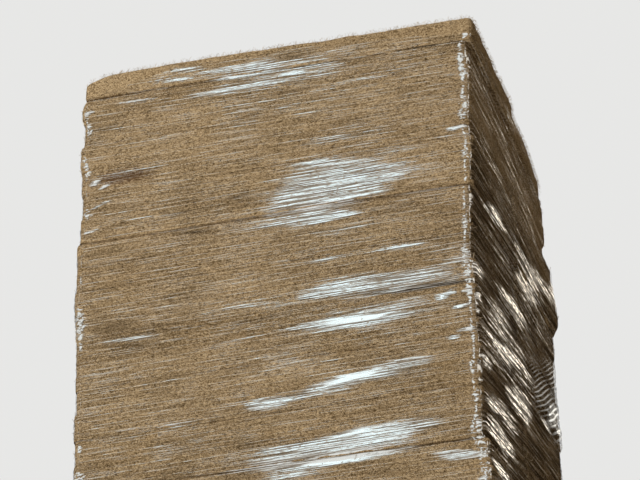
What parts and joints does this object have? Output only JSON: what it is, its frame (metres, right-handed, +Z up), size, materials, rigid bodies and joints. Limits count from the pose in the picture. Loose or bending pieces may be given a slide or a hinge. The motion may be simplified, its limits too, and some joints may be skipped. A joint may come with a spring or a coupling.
{
  "type": "stretch-wrapped stack of wood-fibre insulation batts",
  "caption": "Tall square stack of flexible wood-fibre insulation batts, two side by side in each layer, wound tight in clear stretch film that leaves the top open.",
  "frame": {"origin": "middle of the underside", "axes": "+Z up, +X along the batts' long edge, -Y towards the viewer of the picture"},
  "size_m": [1.2583, 1.1725, 2.4],
  "materials": {
    "wood_fibre": "brown felted wood fibre, matte",
    "stretch_film": "clear wrinkled stretch film, glossy"
  },
  "bodies": {
    "root": {"layer_01": "wood_fibre", "layer_02": "wood_fibre", "layer_03": "wood_fibre", "layer_04": "wood_fibre", "layer_05": "wood_fibre", "layer_06": "wood_fibre", "layer_07": "wood_fibre", "layer_08": "wood_fibre", "layer_09": "wood_fibre", "layer_10": "wood_fibre", "layer_11": "wood_fibre", "layer_12": "wood_fibre", "layer_13": "wood_fibre", "layer_14": "wood_fibre", "layer_15": "wood_fibre", "layer_16": "wood_fibre", "layer_17": "wood_fibre", "layer_18": "wood_fibre", "layer_19": "wood_fibre", "layer_20": "wood_fibre", "layer_21": "wood_fibre", "layer_22": "wood_fibre", "layer_23": "wood_fibre", "layer_24": "wood_fibre", "layer_25": "wood_fibre", "layer_26": "wood_fibre", "layer_27": "wood_fibre", "layer_28": "wood_fibre", "layer_29": "wood_fibre", "layer_30": "wood_fibre", "stretch_film": "stretch_film"}
  },
  "joints": []
}
